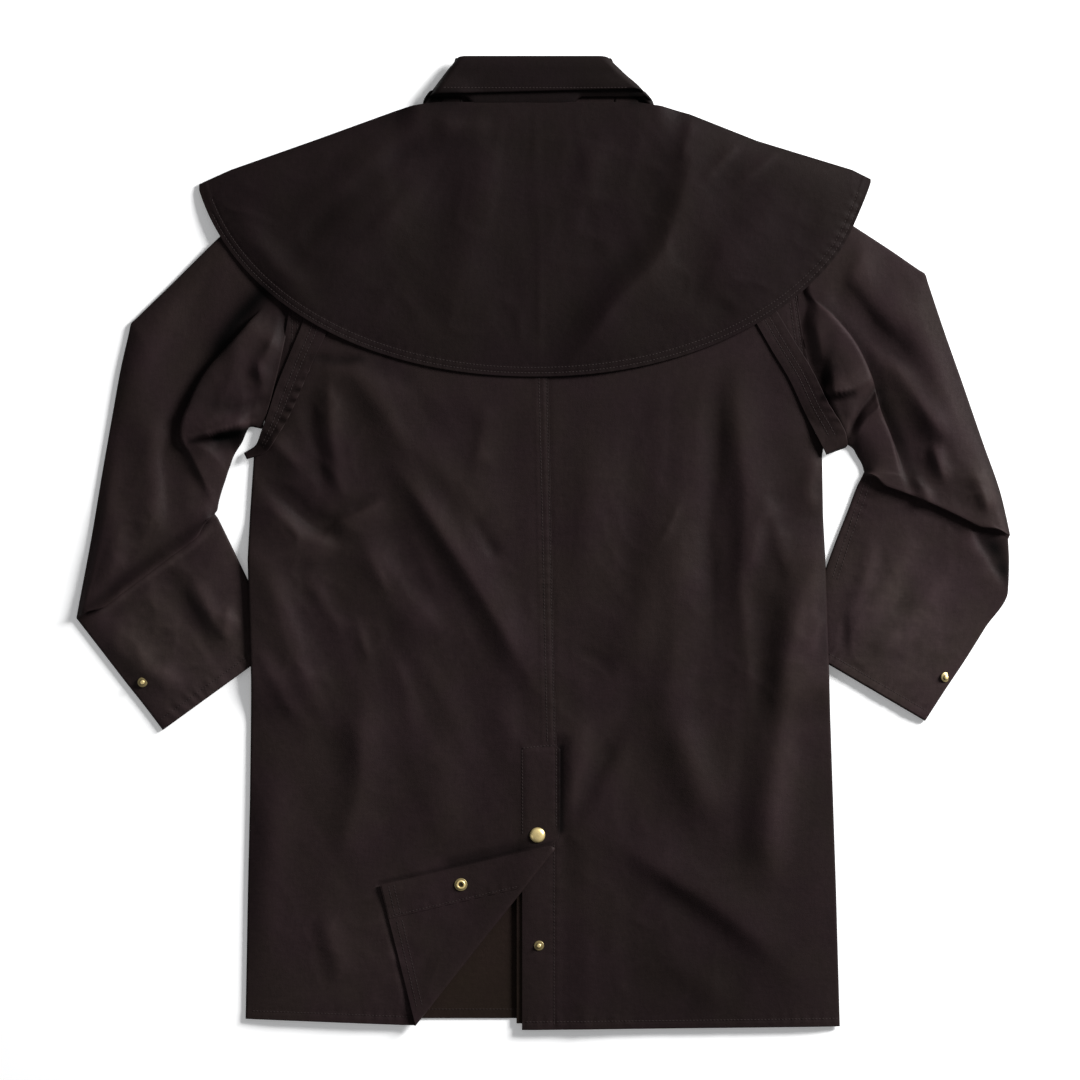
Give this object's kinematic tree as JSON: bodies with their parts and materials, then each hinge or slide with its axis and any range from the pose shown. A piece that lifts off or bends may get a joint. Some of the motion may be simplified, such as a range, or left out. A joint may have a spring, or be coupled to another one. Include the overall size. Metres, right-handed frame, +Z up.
{
  "type": "oilskin coat",
  "caption": "Dark brown oilskin riding coat lying face down, with a shoulder cape, turned-down collar, bent sleeves and a snapped back vent whose corner is turned back.",
  "frame": {"origin": "centre of the bounding box at the floor, under the coat as it lies face down", "axes": "+Z up through the laid-out layers, out of the coat's back; +Y from the hem towards the collar; +X towards the wearer's right sleeve"},
  "size_m": [0.9355, 0.9727, 0.0161],
  "materials": {
    "oilskin": "matte waxed cotton, nearly black brown, with a faint sheen on the folds",
    "oilskin_inside": "inside of the waxed cotton, a little browner and duller",
    "brass": "lightly brushed plated snaps"
  },
  "bodies": {
    "root": {"front_left": "oilskin_inside", "front_right": "oilskin_inside", "cape_front_left": "oilskin", "cape_front_right": "oilskin", "back_left": "oilskin", "back_right": "oilskin", "vent_facing_left": "oilskin_inside", "vent_facing_right": "oilskin_inside", "cape_back": "oilskin", "sleeve_left": "oilskin", "sleeve_right": "oilskin", "cape_strap_left": "oilskin", "cape_strap_right": "oilskin", "collar_stand": "oilskin", "collar_fall": "oilskin", "vent_snap_cap": "brass", "vent_snap_socket": "brass", "vent_snap_stud": "brass", "cuff_stud_left": "brass", "cuff_stud_right": "brass"}
  },
  "joints": []
}
